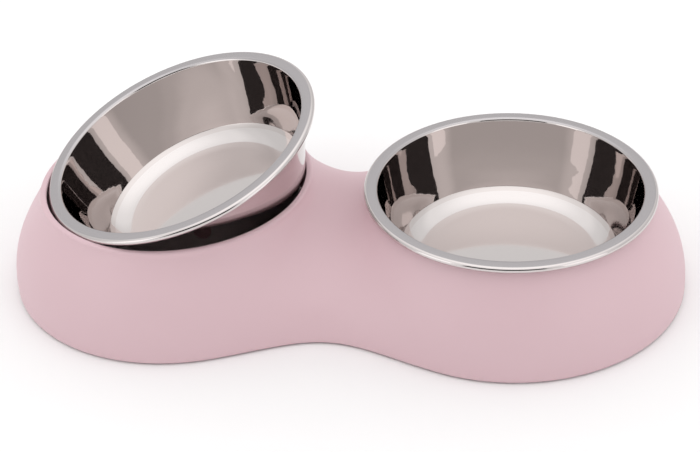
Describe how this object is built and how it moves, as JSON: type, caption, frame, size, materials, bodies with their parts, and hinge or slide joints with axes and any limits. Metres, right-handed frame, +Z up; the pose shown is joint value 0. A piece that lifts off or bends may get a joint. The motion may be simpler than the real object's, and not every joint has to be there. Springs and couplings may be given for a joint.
{
  "type": "double pet bowl",
  "caption": "Pet feeder: polished steel bowls with rolled rims in a hollow pink plastic stand with an hourglass plan. The right bowl is seated and the left one leans in its opening.",
  "frame": {"origin": "on the floor, under the centre of the stand", "axes": "+X along the stand to the right as seen from the front, +Y to the back, +Z up"},
  "size_m": [0.336, 0.172, 0.0907],
  "materials": {
    "pink_plastic": "satin",
    "steel": "polished",
    "dark_rubber": "matte"
  },
  "bodies": {
    "stand": {"stand_shell": "pink_plastic", "left_end_foot": "dark_rubber", "left_back_foot": "dark_rubber", "left_front_foot": "dark_rubber", "right_end_foot": "dark_rubber", "right_back_foot": "dark_rubber", "right_front_foot": "dark_rubber"},
    "left": {"left_bowl": "steel"},
    "right": {"right_bowl": "steel"}
  },
  "joints": [
    {"name": "left_bowl_lift", "type": "slide", "parent": "stand", "child": "left", "axis": [0, 0, 1], "range_m": [0, 0.08]},
    {"name": "right_bowl_lift", "type": "slide", "parent": "stand", "child": "right", "axis": [0, 0, 1], "range_m": [0, 0.08]}
  ]
}
